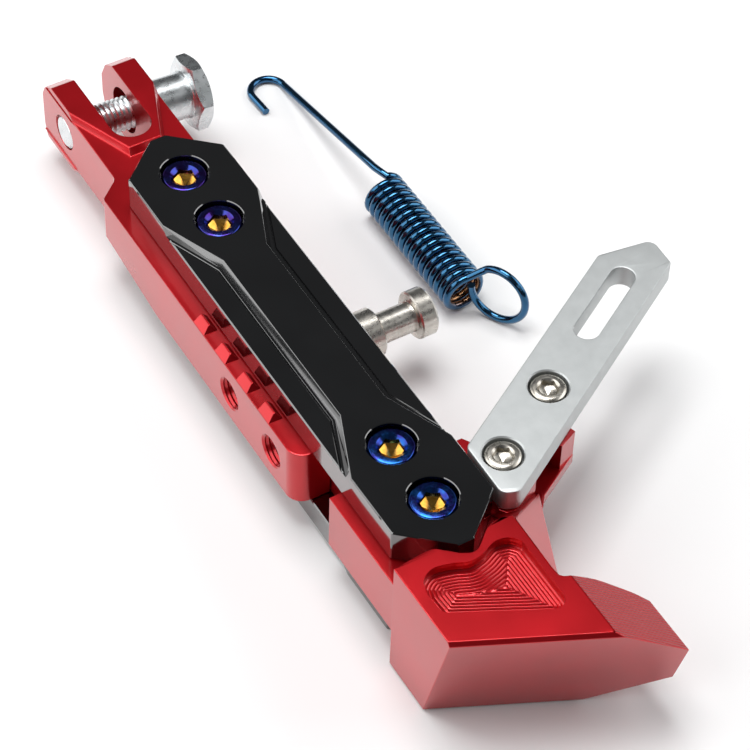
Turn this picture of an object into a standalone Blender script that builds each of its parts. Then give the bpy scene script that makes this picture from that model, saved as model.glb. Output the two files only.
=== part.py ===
"""Motorcycle side kickstand, lying flat, with its return spring beside it.

World frame: the pivot bolt's axis is X, the leg runs along -Y and the two cover plates face +Z and -Z.
The world origin is the centre of the pivot bolt's tip, flush with the fork's left ear.
The pieces are modelled in the leg's own frame, whose X is 0 on the leg's middle plane.
Sizes are in millimetres.
"""

from math import atan2, ceil, cos, pi, radians, sin, sqrt, tan

import bmesh
import bpy
from mathutils import Matrix, Vector

MM = 0.001
GAP = 0.3

# Fork and arm
FORK_HALF = 13.5
FORK_GAP_HALF = 6.0
FORK_GAP_DEPTH = 22.3
EAR_RADIUS = 14.9
EAR_HALF_HEIGHT = 11.6
RAISED_END = -26.5
BOLT_END_HOLE = 5.1
BOLT_ENTRY_HOLE = 7.2
ARM_HALF_HEIGHT = 9.5
ARM_LEFT = -20.0
ARM_RIGHT = 18.4
ARM_END = -147.6
RECESS_END = -140.9
SIDE_HOLES = (-111.9, -134.8)
SIDE_HOLE_RADIUS = 4.25
SIDE_HOLE_DEPTH = 12.0
TOOTH_START = -91.8
TOOTH_PITCH = 11.9
TOOTH_LENGTH = 6.3
TOOTH_RISE = 1.9
TOOTH_RIDGE = -17.6
TOOTH_RIGHT = -15.2
TOOTH_COUNT = 4

# Cover plates
PLATE_MIDDLE = -116.1
PLATE_HALF_WIDTH = 15.0
PLATE_SHOULDER = 71.2
PLATE_APEX = 82.4
PLATE_APEX_HALF = 2.3
PLATE_OUTER = 20.0
PLATE_INNER = ARM_HALF_HEIGHT + GAP
LEDGE_DROP = 2.0
HEAD_END = 50.8
RIB_START = 31.3
RIB_HALF = 6.9

# Plate bolts, M8
BOLT_OFFSETS = (66.34, 46.12, -46.12, -66.34)
BOLT_HOLE = 4.3
BOLT_RADIUS = 4.0
BOLT_HEAD_RADIUS = 6.5
BOLT_HEAD_HEIGHT = 5.5
BOLT_HEAD_SINK = 1.5
COUNTERBORE = 7.1
NUT_POCKET = 8.3
NUT_POCKET_DEPTH = 8.0
WASHER_RADIUS = 7.8
WASHER_HEIGHT = 1.5
NUT_FLATS = 13.0
NUT_HEIGHT = 5.0

# Pivot bolt
PIVOT_THREAD = 5.0
PIVOT_SHOULDER = 7.0
SHOULDER_START = 10.0
HEAD_START = 25.3
HEAD_LENGTH = 5.0
HEAD_FLATS = 20.0
HEAD_FACE = 9.8
HEAD_CHAMFER = 1.05

# Spring stud
STUD_Y = -111.2
STUD_THREAD = 4.0
STUD_INNER_END = 8.5
STUD_COLLAR = 7.0
STUD_COLLAR_END = 25.7
STUD_NECK = 4.4
STUD_NECK_END = 37.0
STUD_HEAD = 6.95
STUD_END = 42.3

# Foot
FOOT_HALF_HEIGHT = 19.5
FOOT_LEFT = -20.0
TANG_HALF = 18.4
TANG_TOP = -162.5
TONGUE_HALF = 9.0
TONGUE_TOP = -141.5
SLOT_HALF = 4.4
ADJUST_TRAVEL = 12.0
TOE_CREASE = 17.0
TOE_END = 35.3
TOE_HALF_HEIGHT = 7.6
GROUND_POINT = (-20.4, -223.3, 19.5)
GROUND_YAW = radians(25.2)
GROUND_LEAN = radians(13.0)
POCKET_DEPTH = 3.5

# Kick tab
TAB_CENTRE = (34.25, -172.2)
TAB_ANGLE = radians(31.1)
TAB_HALF_WIDTH = 9.25
TAB_LOW = 13.0
TAB_TOP = 20.0
TAB_SCREWS = (-13.1, 13.1)
TAB_SCREW_RADIUS = 3.0
TAB_SCREW_HEAD = 4.8
TAB_SCREW_HEAD_HEIGHT = 4.2
TAB_COUNTERBORE = 5.65
TAB_COUNTERBORE_DEPTH = 4.8
TAB_SCREW_END = 2.0
TAB_SLOT = (36.3, 58.2)
TAB_SLOT_HALF = 3.5
LUG_TOP = TAB_LOW - GAP
WEB_TOP = 3.5

# Return spring, loose beside the leg
WIRE_RADIUS = 1.15
COIL_RADIUS = 5.85
COIL_X = 61.8
COIL_Z = -13.0
COIL_START = -54.5
COIL_END = -101.0
COIL_TURNS = 17
POINTS_PER_TURN = 12
HOOK_RADIUS = 5.4
HOOK_CENTRE = (56.6, 4.6)
HOOK_TIP = (51.6, -3.1)
HOOK_Z = -18.8
RING_RADIUS = 8.4
RING_CENTRE = Vector((68.0, -108.6, -10.4))
RING_RUN = Vector((0.452, -0.892, 0))
RING_SIDE = Vector((-0.892, -0.452, 0))
RING_SHIFT = 1.3

ROUND_STEP = pi / 16
ALONG_X = Matrix(((0, 0, 1, 0), (1, 0, 0, 0), (0, 1, 0, 0), (0, 0, 0, 1)))
ALONG_Y = Matrix(((1, 0, 0, 0), (0, 0, 1, 0), (0, -1, 0, 0), (0, 0, 0, 1))).transposed()
FACING_X = Matrix.Rotation(pi / 2, 4, "Y")

for leftover in list(bpy.data.objects):
    bpy.data.objects.remove(leftover)

parts = bpy.data.collections.new("kickstand")
cutters = bpy.data.collections.new("cutters")
bpy.context.scene.collection.children.link(parts)
bpy.context.scene.collection.children.link(cutters)


# Materials


def make_material(name, colour, roughness, metallic):
    material = bpy.data.materials.new(name)
    material.use_nodes = True
    shader = material.node_tree.nodes["Principled BSDF"]
    shader.inputs["Base Color"].default_value = (*colour, 1.0)
    shader.inputs["Roughness"].default_value = roughness
    shader.inputs["Metallic"].default_value = metallic
    return material


red = make_material("red_anodised", (0.58, 0.02, 0.03), 0.3, 1.0)
black = make_material("black_anodised", (0.015, 0.015, 0.015), 0.25, 0.6)
silver = make_material("satin_aluminium", (0.62, 0.64, 0.64), 0.4, 1.0)
steel = make_material("turned_steel", (0.55, 0.52, 0.48), 0.3, 1.0)
zinc = make_material("zinc_plate", (0.66, 0.68, 0.70), 0.25, 1.0)
titanium = make_material("blued_titanium", (0.05, 0.12, 0.42), 0.25, 1.0)
blue_wire = make_material("blued_wire", (0.03, 0.16, 0.33), 0.25, 1.0)


# Outlines, in millimetres


def rounded(corners):
    """The outline through the corners (x, y, radius), each turned with its own radius."""
    points = []
    for index, (x, y, radius) in enumerate(corners):
        corner = Vector((x, y))
        before = (Vector(corners[index - 1][:2]) - corner).normalized()
        after = (Vector(corners[(index + 1) % len(corners)][:2]) - corner).normalized()
        if radius == 0:
            points.append((x, y))
            continue
        half = before.angle(after) / 2
        centre = corner + (before + after).normalized() * (radius / sin(half))
        start = corner + before * (radius / tan(half)) - centre
        turn = (pi - 2 * half) * (1 if start.x * (after - before).y > start.y * (after - before).x else -1)
        steps = max(2, ceil(abs(turn) / ROUND_STEP))
        for step in range(steps + 1):
            angle = atan2(start.y, start.x) + turn * step / steps
            points.append((centre.x + radius * cos(angle), centre.y + radius * sin(angle)))
    return points


def smooth(points, steps=4):
    """A smooth open curve through the points."""
    ends = [points[0], *points, points[-1]]
    curve = []
    for index in range(1, len(ends) - 2):
        before, start, end, after = (Vector(point) for point in ends[index - 1 : index + 3])
        for step in range(steps):
            t = step / steps
            value = 2 * start + (end - before) * t
            value += (2 * before - 5 * start + 4 * end - after) * t**2
            value += (3 * start - before - 3 * end + after) * t**3
            curve.append(tuple(value / 2))
    return [*curve, tuple(points[-1])]


def circle(x, y, radius):
    count = round(2 * pi / ROUND_STEP)
    return [(x + radius * cos(i * ROUND_STEP), y + radius * sin(i * ROUND_STEP)) for i in range(count)]


def stadium(low, high, half, across=0.0):
    """A slot along Y, with round ends centred at low and high."""
    return rounded(
        [
            (across - half, low - half, half * 0.999),
            (across + half, low - half, half * 0.999),
            (across + half, high + half, half * 0.999),
            (across - half, high + half, half * 0.999),
        ]
    )


def on_tab(a, b):
    """The leg's (x, y) at a along the tab and b across it."""
    return (
        TAB_CENTRE[0] + a * cos(TAB_ANGLE) - b * sin(TAB_ANGLE),
        TAB_CENTRE[1] + a * sin(TAB_ANGLE) + b * cos(TAB_ANGLE),
    )


# Solids


def weld(mesh):
    work = bmesh.new()
    work.from_mesh(mesh)
    bmesh.ops.remove_doubles(work, verts=work.verts, dist=0.00002)
    bmesh.ops.recalc_face_normals(work, faces=work.faces)
    work.to_mesh(mesh)
    work.free()


def extruded(name, loops, low, high, turn=None):
    """A mesh of the flat loops, from low to high along Z or along the axis that turn gives."""
    curve = bpy.data.curves.new(name, "CURVE")
    curve.dimensions = "2D"
    curve.fill_mode = "BOTH"
    curve.extrude = (high - low) / 2 * MM
    for loop in loops:
        spline = curve.splines.new("POLY")
        spline.points.add(len(loop) - 1)
        spline.use_cyclic_u = True
        for point, (x, y) in zip(spline.points, loop):
            point.co = (x * MM, y * MM, 0, 1)
    guide = bpy.data.objects.new(name, curve)
    guide.location.z = (low + high) / 2 * MM
    cutters.objects.link(guide)
    bpy.context.view_layer.update()
    evaluated = guide.evaluated_get(bpy.context.evaluated_depsgraph_get())
    mesh = bpy.data.meshes.new_from_object(evaluated)
    mesh.transform((turn or Matrix()) @ guide.matrix_world)
    bpy.data.objects.remove(guide)
    weld(mesh)
    return mesh


def cylinder(name, radius, low, high, matrix=None, segments=32):
    """A mesh cylinder from low to high along the matrix's Z."""
    mesh = bpy.data.meshes.new(name)
    work = bmesh.new()
    place = (matrix or Matrix()) @ Matrix.Translation((0, 0, (low + high) / 2 * MM))
    depth = (high - low) * MM
    sizes = {"radius1": radius * MM, "radius2": radius * MM, "depth": depth}
    bmesh.ops.create_cone(work, cap_ends=True, segments=segments, matrix=place, **sizes)
    work.to_mesh(mesh)
    work.free()
    return mesh


def box(name, low, high):
    mesh = bpy.data.meshes.new(name)
    low, high = Vector(low) * MM, Vector(high) * MM
    work = bmesh.new()
    place = Matrix.Translation((low + high) / 2) @ Matrix.Diagonal((*(high - low), 1))
    bmesh.ops.create_cube(work, size=1, matrix=place)
    work.to_mesh(mesh)
    work.free()
    return mesh


def hull(name, points):
    mesh = bpy.data.meshes.new(name)
    work = bmesh.new()
    for point in points:
        work.verts.new(Vector(point) * MM)
    found = bmesh.ops.convex_hull(work, input=work.verts)
    spare = found["geom_unused"] + found["geom_interior"]
    spare = {item for item in spare if isinstance(item, bmesh.types.BMVert)}
    bmesh.ops.delete(work, geom=list(spare), context="VERTS")
    work.to_mesh(mesh)
    work.free()
    return mesh


def turned(name, profile, matrix=None, steps=32):
    """A mesh turned about the matrix's Z from a profile of (radius, height), top to bottom."""
    mesh = bpy.data.meshes.new(name)
    edges = [(index, index + 1) for index in range(len(profile) - 1)]
    mesh.from_pydata([(radius * MM, 0, height * MM) for radius, height in profile], edges, [])
    guide = bpy.data.objects.new(name, mesh)
    cutters.objects.link(guide)
    screw = guide.modifiers.new("turn", "SCREW")
    screw.steps = steps
    screw.render_steps = steps
    screw.use_merge_vertices = True
    screw.merge_threshold = 0.00001
    bpy.context.view_layer.update()
    evaluated = guide.evaluated_get(bpy.context.evaluated_depsgraph_get())
    solid = bpy.data.meshes.new_from_object(evaluated)
    solid.transform(matrix or Matrix())
    bpy.data.objects.remove(guide)
    weld(solid)
    return solid


def node(name, mesh, material, parent, at=(0, 0, 0)):
    """One piece of the stand. Its mesh is in the leg's frame, and its origin is put at the point at."""
    mesh.name = name
    mesh.transform(Matrix.Translation(-Vector(at) * MM))
    mesh.materials.clear()
    mesh.materials.append(material)
    mesh.shade_smooth()
    mesh.set_sharp_from_angle(angle=radians(30))
    piece = bpy.data.objects.new(name, mesh)
    piece.location = Vector(at) * MM
    piece.parent = parent
    parts.objects.link(piece)
    return piece


def boolean(piece, operation, mesh):
    """Joins, cuts or trims the piece with a helper, whose mesh is in the leg's frame."""
    helper = bpy.data.objects.new(f"{piece.name}_{mesh.name}", mesh)
    helper.location = leg_frame.location
    helper.hide_render = True
    helper.display_type = "WIRE"
    cutters.objects.link(helper)
    modifier = piece.modifiers.new(mesh.name, "BOOLEAN")
    modifier.operation = operation
    modifier.object = helper


def across(x, y, z=0.0):
    """A frame at this point whose Z runs along the world's X."""
    return Matrix.Translation(Vector((x, y, z)) * MM) @ FACING_X


def upright(x, y):
    return Matrix.Translation(Vector((x, y, 0)) * MM)


# Frames: one for the leg's middle plane, one for the sliding foot, one for the loose spring

leg_frame = bpy.data.objects.new("leg_frame", None)
leg_frame.location = (FORK_HALF * MM, 0, 0)
parts.objects.link(leg_frame)


# Pieces


def build_pivot_bolt():
    """A shouldered hex bolt along X: its thread ends flush with the left ear."""
    profile = [
        (0, HEAD_START + 1),
        (PIVOT_SHOULDER, HEAD_START + 1),
        (PIVOT_SHOULDER, SHOULDER_START),
        (PIVOT_THREAD, SHOULDER_START),
        (PIVOT_THREAD, 0.8 - FORK_HALF),
        (PIVOT_THREAD - 0.8, -FORK_HALF),
        (0, -FORK_HALF),
    ]
    bolt = node("pivot_bolt", turned("shank", profile, across(0, 0)), zinc, leg_frame)
    corner = HEAD_FLATS / sqrt(3)
    barrel = [
        (0, HEAD_START + HEAD_LENGTH),
        (HEAD_FACE, HEAD_START + HEAD_LENGTH),
        (corner + 0.3, HEAD_START + HEAD_LENGTH - HEAD_CHAMFER),
        (corner + 0.3, HEAD_START + HEAD_CHAMFER),
        (HEAD_FACE, HEAD_START),
        (0, HEAD_START),
    ]
    head = cylinder("hex", corner, HEAD_START - 1, HEAD_START + HEAD_LENGTH + 1, across(0, 0), segments=6)
    head_piece = bpy.data.objects.new("pivot_bolt_hex", head)
    head_piece.location = leg_frame.location
    head_piece.hide_render = True
    head_piece.display_type = "WIRE"
    cutters.objects.link(head_piece)
    boolean(head_piece, "INTERSECT", turned("barrel", barrel, across(0, 0)))
    modifier = bolt.modifiers.new("head", "BOOLEAN")
    modifier.operation = "UNION"
    modifier.object = head_piece


def build_fork_arm():
    """Two ears on a flat arm, whose sides stand out past the cover plates."""
    body = rounded(
        [
            (-11.5, 16, 0),
            (-FORK_HALF, 14, 0),
            (-FORK_HALF, -33, 3),
            (ARM_LEFT, -38.5, 1.5),
            (ARM_LEFT, ARM_END, 5),
            (ARM_RIGHT, ARM_END, 5),
            (ARM_RIGHT, -38.5, 1.5),
            (FORK_HALF, -33, 3),
            (FORK_HALF, 14, 0),
            (11.5, 16, 0),
        ]
    )
    arm = node("fork_arm", extruded("body", [body], -ARM_HALF_HEIGHT, ARM_HALF_HEIGHT), red, leg_frame)
    raised = [(-11.5, 16), (-FORK_HALF, 14), (-FORK_HALF, -5), (-5, RAISED_END)]
    raised += [(-x, y) for x, y in reversed(raised)]
    boolean(arm, "UNION", extruded("raised_ears", [raised], -EAR_HALF_HEIGHT, EAR_HALF_HEIGHT))
    round_end = EAR_RADIUS - 0.02
    envelope = rounded(
        [
            (-160, -EAR_RADIUS, 0),
            (EAR_RADIUS, -EAR_RADIUS, round_end),
            (EAR_RADIUS, EAR_RADIUS, round_end),
            (-160, EAR_RADIUS, 0),
        ]
    )
    boolean(arm, "INTERSECT", extruded("round_end", [envelope], -30, 30, ALONG_X))
    for index in range(TOOTH_COUNT):
        start = TOOTH_START - index * TOOTH_PITCH
        tooth = [(ARM_LEFT, 8.5), (ARM_LEFT, ARM_HALF_HEIGHT), (TOOTH_RIDGE, ARM_HALF_HEIGHT + TOOTH_RISE)]
        tooth += [(TOOTH_RIGHT, ARM_HALF_HEIGHT), (TOOTH_RIGHT, 8.5)]
        tooth = extruded(f"tooth_{index + 1}", [tooth], -start, -start + TOOTH_LENGTH, ALONG_Y)
        boolean(arm, "UNION", tooth)
    gap_round = FORK_GAP_HALF - 0.01
    gap = rounded(
        [
            (-FORK_GAP_HALF, 20, 0),
            (-FORK_GAP_HALF, -FORK_GAP_DEPTH, gap_round),
            (FORK_GAP_HALF, -FORK_GAP_DEPTH, gap_round),
            (FORK_GAP_HALF, 20, 0),
        ]
    )
    boolean(arm, "DIFFERENCE", extruded("fork_gap", [gap], -16, 16))
    boolean(arm, "DIFFERENCE", cylinder("end_hole", BOLT_END_HOLE, -15, -5, across(0, 0)))
    boolean(arm, "DIFFERENCE", cylinder("entry_hole", BOLT_ENTRY_HOLE, 5, 15, across(0, 0)))
    for index, offset in enumerate(BOLT_OFFSETS[:2]):
        hole = cylinder(f"bolt_hole_{index + 1}", BOLT_HOLE, -12, 12, upright(0, PLATE_MIDDLE + offset))
        boolean(arm, "DIFFERENCE", hole)
    for index, y in enumerate(SIDE_HOLES):
        low, high = ARM_LEFT - 1, ARM_LEFT + SIDE_HOLE_DEPTH
        hole = cylinder(f"side_hole_{index + 1}", SIDE_HOLE_RADIUS, low, high, across(0, y))
        boolean(arm, "DIFFERENCE", hole)
    low, high = STUD_INNER_END - 0.5, ARM_RIGHT + 1
    stud_hole = cylinder("stud_hole", STUD_THREAD + GAP, low, high, across(0, STUD_Y))
    boolean(arm, "DIFFERENCE", stud_hole)
    half = TONGUE_HALF + 0.4
    recess = box("tongue_recess", (-half, ARM_END - 5, -15), (half, RECESS_END, 15))
    boolean(arm, "DIFFERENCE", recess)
    taper = [(-30, -4), (-70, -ARM_HALF_HEIGHT - 0.05), (-70, -15), (-30, -15)]
    boolean(arm, "DIFFERENCE", extruded("flange_taper", [taper], -25, -13.6, ALONG_X))


def plate_outline(half_width):
    corners = []
    for side, end in ((-1, 1), (1, 1), (1, -1), (-1, -1)):
        shoulder = (side * half_width, PLATE_MIDDLE + end * PLATE_SHOULDER, 1.0)
        apex = (side * PLATE_APEX_HALF, PLATE_MIDDLE + end * PLATE_APEX, 1.2)
        corners += [shoulder, apex] if side * end < 0 else [apex, shoulder]
    return rounded(corners)


def build_plate(name, face):
    """A cover plate with raised heads joined by a raised rib. face is +1 in front and -1 behind."""
    low, high = sorted((face * PLATE_INNER, face * (PLATE_OUTER - LEDGE_DROP)))
    plate = node(name, extruded("ledge", [plate_outline(PLATE_HALF_WIDTH)], low, high), black, leg_frame)
    raised = []
    for side, end in ((-1, 1), (1, 1), (1, -1), (-1, -1)):
        half = PLATE_HALF_WIDTH
        run = [(RIB_HALF, RIB_START), (half, HEAD_END)]
        run += [(half, PLATE_SHOULDER), (PLATE_APEX_HALF, PLATE_APEX)]
        run = [(side * x, PLATE_MIDDLE + end * y, 1.0 if y > HEAD_END else 0) for x, y in run]
        raised += run if side * end < 0 else run[::-1]
    low, high = sorted((face * (PLATE_OUTER - LEDGE_DROP - 1), face * PLATE_OUTER))
    boolean(plate, "UNION", extruded("raised_rib", [rounded(raised)], low, high))
    radius, depth = NUT_POCKET, NUT_POCKET_DEPTH
    if face > 0:
        radius, depth = COUNTERBORE, BOLT_HEAD_SINK + BOLT_HEAD_HEIGHT
    for index, offset in enumerate(BOLT_OFFSETS):
        place = upright(0, PLATE_MIDDLE + offset)
        boolean(plate, "DIFFERENCE", cylinder(f"hole_{index + 1}", BOLT_HOLE, -25, 25, place))
        low, high = sorted((face * (PLATE_OUTER - depth), face * 22))
        boolean(plate, "DIFFERENCE", cylinder(f"counterbore_{index + 1}", radius, low, high, place))


def socket_screw_mesh(name, head_radius, head_height, top, radius, end, place):
    """A round-headed screw that points along -Z, from top down to end."""
    profile = [
        (0, top),
        (head_radius - 0.5, top),
        (head_radius, top - 0.5),
        (head_radius, top - head_height),
        (radius, top - head_height),
        (radius, end + 0.6),
        (radius - 0.6, end),
        (0, end),
    ]
    return turned(name, profile, place)


def build_plate_fasteners():
    """Four M8 screws through the plates, each with a washer and a nut at the rear."""
    top = PLATE_OUTER - BOLT_HEAD_SINK
    seat = -PLATE_OUTER + NUT_POCKET_DEPTH - GAP / 2
    nut_high = seat - WASHER_HEIGHT - GAP / 2
    end = nut_high - NUT_HEIGHT - 0.6
    for index, offset in enumerate(BOLT_OFFSETS):
        y = PLATE_MIDDLE + offset
        place = upright(0, y)
        height = BOLT_HEAD_HEIGHT - GAP
        mesh = socket_screw_mesh("screw", BOLT_HEAD_RADIUS, height, top, BOLT_RADIUS, end, place)
        screw = node(f"plate_bolt_{index + 1}", mesh, titanium, leg_frame)
        boolean(screw, "DIFFERENCE", cylinder("socket", 6 / sqrt(3), top - 3.6, top + 1, place, segments=6))
        ring = [circle(0, y, WASHER_RADIUS), circle(0, y, BOLT_RADIUS + GAP)]
        washer = extruded("washer", ring, seat - WASHER_HEIGHT, seat)
        node(f"plate_washer_{index + 1}", washer, steel, leg_frame)
        corner = NUT_FLATS / sqrt(3)
        hexagon = [(corner * cos(i * pi / 3), y + corner * sin(i * pi / 3)) for i in range(6)]
        nut = [hexagon, circle(0, y, BOLT_RADIUS + GAP)]
        nut = extruded("nut", nut, nut_high - NUT_HEIGHT, nut_high)
        node(f"plate_nut_{index + 1}", nut, zinc, leg_frame)


def build_spring_stud():
    """The turned stud that the return spring hooks over, screwed into the arm's right side."""
    profile = [
        (0, STUD_END),
        (STUD_HEAD - 0.6, STUD_END),
        (STUD_HEAD, STUD_END - 0.6),
        (STUD_HEAD, STUD_NECK_END + 0.4),
        (STUD_HEAD - 0.4, STUD_NECK_END),
        (STUD_NECK, STUD_NECK_END),
        (STUD_NECK, STUD_COLLAR_END),
        (STUD_COLLAR - 0.4, STUD_COLLAR_END),
        (STUD_COLLAR, STUD_COLLAR_END - 0.4),
        (STUD_COLLAR, ARM_RIGHT + GAP),
        (STUD_THREAD, ARM_RIGHT + GAP),
        (STUD_THREAD, STUD_INNER_END),
        (0, STUD_INNER_END),
    ]
    node("spring_stud", turned("stud", profile, across(0, STUD_Y)), steel, leg_frame)


def build_foot():
    """The sliding foot: a slotted tang, a block with a slanted sole and toe, and the tab's lug."""
    scallop = [(-20, -196.8), (-9.4, -195.9), (-5.9, -197.9), (-2.5, -200.7), (1.3, -201.5), (7, -197)]
    scallop = smooth([*scallop, (11.4, -195.9), (14.7, -196.9)])
    toe_back = smooth([(18.3, -219.9), (23.6, -221.2), (29.2, -224.4), (32.5, -226.6), (TOE_END, -229.3)])
    block = [*scallop, (14.2, -216), (15.2, -218.6), *toe_back, (TOE_END, -260), (FOOT_LEFT, -260)]
    block = extruded("block", [block[::-1]], -FOOT_HALF_HEIGHT, FOOT_HALF_HEIGHT)
    foot = node("foot", block, red, foot_frame)
    section = [(-25, -FOOT_HALF_HEIGHT - 1), (TOE_CREASE - 1, -FOOT_HALF_HEIGHT - 1)]
    section += [(TOE_CREASE, -FOOT_HALF_HEIGHT), (TOE_END + 1, -TOE_HALF_HEIGHT)]
    section += [(x, -z) for x, z in reversed(section)]
    boolean(foot, "INTERSECT", extruded("toe_section", [section], 190, 270, ALONG_Y))
    neck = [(13.0, -198, 19.4), (14.6, -198, 19.4), (14.2, -218.5, 19.4), (10.0, -218.5, 19.4)]
    neck += [(15.6, -184, 6), (31, -185, 6), (23.3, -204, 4), (16, -220.4, 4), (12, -220.4, 4)]
    boolean(foot, "UNION", hull("neck", neck + [(x, y, -z) for x, y, z in neck]))
    half = ARM_HALF_HEIGHT
    boolean(foot, "UNION", box("tang", (-TANG_HALF, -205, -half), (TANG_HALF, TANG_TOP, half)))
    low, high = (-TONGUE_HALF, TANG_TOP - 5, 0.1 - half), (TONGUE_HALF, TONGUE_TOP, half - 0.1)
    boolean(foot, "UNION", box("tongue", low, high))
    build_lug(foot)
    ground = box("sole", (-150, -100, -100), (150, 0, 100))
    sole_turn = Matrix.Rotation(-GROUND_YAW, 4, "Z") @ Matrix.Rotation(GROUND_LEAN, 4, "X")
    ground.transform(Matrix.Translation(Vector(GROUND_POINT) * MM) @ sole_turn)
    boolean(foot, "DIFFERENCE", ground)
    low = PLATE_MIDDLE + BOLT_OFFSETS[3]
    high = PLATE_MIDDLE + BOLT_OFFSETS[2] + ADJUST_TRAVEL
    boolean(foot, "DIFFERENCE", extruded("adjusting_slot", [stadium(low, high, SLOT_HALF)], -15, 15))
    pocket = [(-16.7, -207), (-15.3, -203.3), (-11.4, -201.3), (-6.3, -202.3), (-2.3, -203.9), (1.6, -203.4)]
    pocket = smooth([*pocket, (6.3, -201.6), (10.2, -202.4), (12.3, -205)])
    pocket += rounded([(12.3, -215, 0), (12.3, -228.6, 3), (-16.4, -214, 2), (-16.7, -208, 0)])
    pocket = extruded("milled_pocket", [pocket[::-1]], FOOT_HALF_HEIGHT - POCKET_DEPTH, 25)
    boolean(foot, "DIFFERENCE", pocket)


def build_lug(foot):
    """The lug beside the tang, with two posts that carry the kick tab."""
    web = [(12, -164.2), (20, -164.2), on_tab(-8, 8.6), on_tab(16, 8.6), on_tab(19, 5), on_tab(19, -2)]
    web += [on_tab(16.5, -4.3), on_tab(10.4, -4.3), on_tab(8.7, -10.6)]
    web += [(33.2, -184.9), (24, -196), (12, -196)]
    boolean(foot, "UNION", extruded("web", [web[::-1]], 0, WEB_TOP))
    upper = [(16.1, -164.3), (20, -164.3), on_tab(-8, 8.5), on_tab(15.9, 8.5), on_tab(18.9, 4.9)]
    upper += [on_tab(18.9, -1.9), on_tab(16.4, -4.2), on_tab(10.3, -4.2), on_tab(8.6, -10.5)]
    upper += [on_tab(2.2, -9.8), on_tab(2.2, -1), on_tab(-8, -1), on_tab(-10.8, -3.5)]
    upper += [on_tab(-10.8, -8.8), on_tab(-21.7, -8.8), on_tab(-24.4, -7.4), on_tab(-24.6, -5.2)]
    upper.append((16.1, -186))
    boolean(foot, "UNION", extruded("posts", [upper[::-1]], 0.2, LUG_TOP))
    for index, a in enumerate(TAB_SCREWS):
        place = upright(*on_tab(a, 0))
        hole = cylinder(f"tab_hole_{index + 1}", TAB_SCREW_RADIUS + GAP, TAB_SCREW_END - 0.5, 16, place)
        boolean(foot, "DIFFERENCE", hole)


def build_kick_tab():
    """The slotted bar that the rider's boot catches, screwed on the foot's lug."""
    outline = rounded(
        [
            (-15.7, TAB_HALF_WIDTH, 2.5),
            (-25.0, -5.6, 3.0),
            (-22.0, -TAB_HALF_WIDTH, 2.5),
            (69.7, -TAB_HALF_WIDTH, 1.0),
            (75.0, -1.2, 3.0),
            (62.3, TAB_HALF_WIDTH, 2.0),
        ]
    )
    slot = [(y, x) for x, y in stadium(*TAB_SLOT, TAB_SLOT_HALF)]
    loops = [[on_tab(a, b) for a, b in outline], [on_tab(a, b) for a, b in slot]]
    tab = node("kick_tab", extruded("bar", loops, TAB_LOW, TAB_TOP), silver, foot_frame)
    for index, a in enumerate(TAB_SCREWS):
        place = upright(*on_tab(a, 0))
        hole = cylinder(f"hole_{index + 1}", TAB_SCREW_RADIUS + GAP, TAB_LOW - 2, TAB_TOP + 2, place)
        boolean(tab, "DIFFERENCE", hole)
        low = TAB_TOP - TAB_COUNTERBORE_DEPTH
        recess = cylinder(f"counterbore_{index + 1}", TAB_COUNTERBORE, low, TAB_TOP + 2, place)
        boolean(tab, "DIFFERENCE", recess)
        top = low + GAP + TAB_SCREW_HEAD_HEIGHT
        mesh = socket_screw_mesh(
            "screw", TAB_SCREW_HEAD, TAB_SCREW_HEAD_HEIGHT, top, TAB_SCREW_RADIUS, TAB_SCREW_END, place
        )
        screw = node(f"tab_screw_{index + 1}", mesh, steel, foot_frame)
        boolean(screw, "DIFFERENCE", cylinder("socket", 5 / sqrt(3), top - 2.6, top + 1, place, segments=6))


def spring_route():
    """The wire's centre line: hook, straight shank, coil and end ring."""
    centre = Vector((*HOOK_CENTRE, HOOK_Z))
    hook = [Vector((*HOOK_TIP, HOOK_Z))]
    for step in range(9):
        angle = pi - pi * step / 8
        hook.append(centre + HOOK_RADIUS * Vector((cos(angle), sin(angle), 0)))
    shank_top = Vector((COIL_X, COIL_START + 4.5, COIL_Z + COIL_RADIUS))
    shank = [hook[-1].lerp(shank_top, step / 8) for step in range(1, 9)]
    coil = []
    count = round(COIL_TURNS * POINTS_PER_TURN)
    for step in range(1, count + 1):
        share = step / count
        angle = pi / 2 - 2 * pi * COIL_TURNS * share
        y = COIL_START + (COIL_END - COIL_START) * share
        coil.append(Vector((COIL_X + COIL_RADIUS * cos(angle), y, COIL_Z + COIL_RADIUS * sin(angle))))
    ring = []
    for step in range(25):
        angle = radians(128 - 312 * step / 24)
        place = RING_RADIUS * (cos(angle) * RING_RUN + Vector((0, 0, sin(angle))))
        ring.append(RING_CENTRE + place + RING_SHIFT * (step / 12 - 1) * RING_SIDE)
    neck = smooth([coil[-2], coil[-1], ring[0], ring[1]], 4)
    ring = [Vector(point) for point in neck[5:8]] + ring
    return hook + shank + coil + ring


def build_return_spring():
    """The blued extension spring, lying beside the leg on the same surface."""
    curve = bpy.data.curves.new("return_spring", "CURVE")
    curve.dimensions = "3D"
    curve.bevel_depth = WIRE_RADIUS * MM
    curve.bevel_resolution = 2
    curve.use_fill_caps = True
    route = spring_route()
    spline = curve.splines.new("POLY")
    spline.points.add(len(route) - 1)
    for point, place in zip(spline.points, route):
        point.co = (*(place * MM), 1)
    curve.materials.append(blue_wire)
    spring = bpy.data.objects.new("return_spring", curve)
    spring.parent = spring_frame
    parts.objects.link(spring)


foot_frame = bpy.data.objects.new("foot_frame", None)
foot_frame.parent = leg_frame
parts.objects.link(foot_frame)
spring_frame = bpy.data.objects.new("spring_frame", None)
spring_frame.parent = leg_frame
parts.objects.link(spring_frame)

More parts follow.
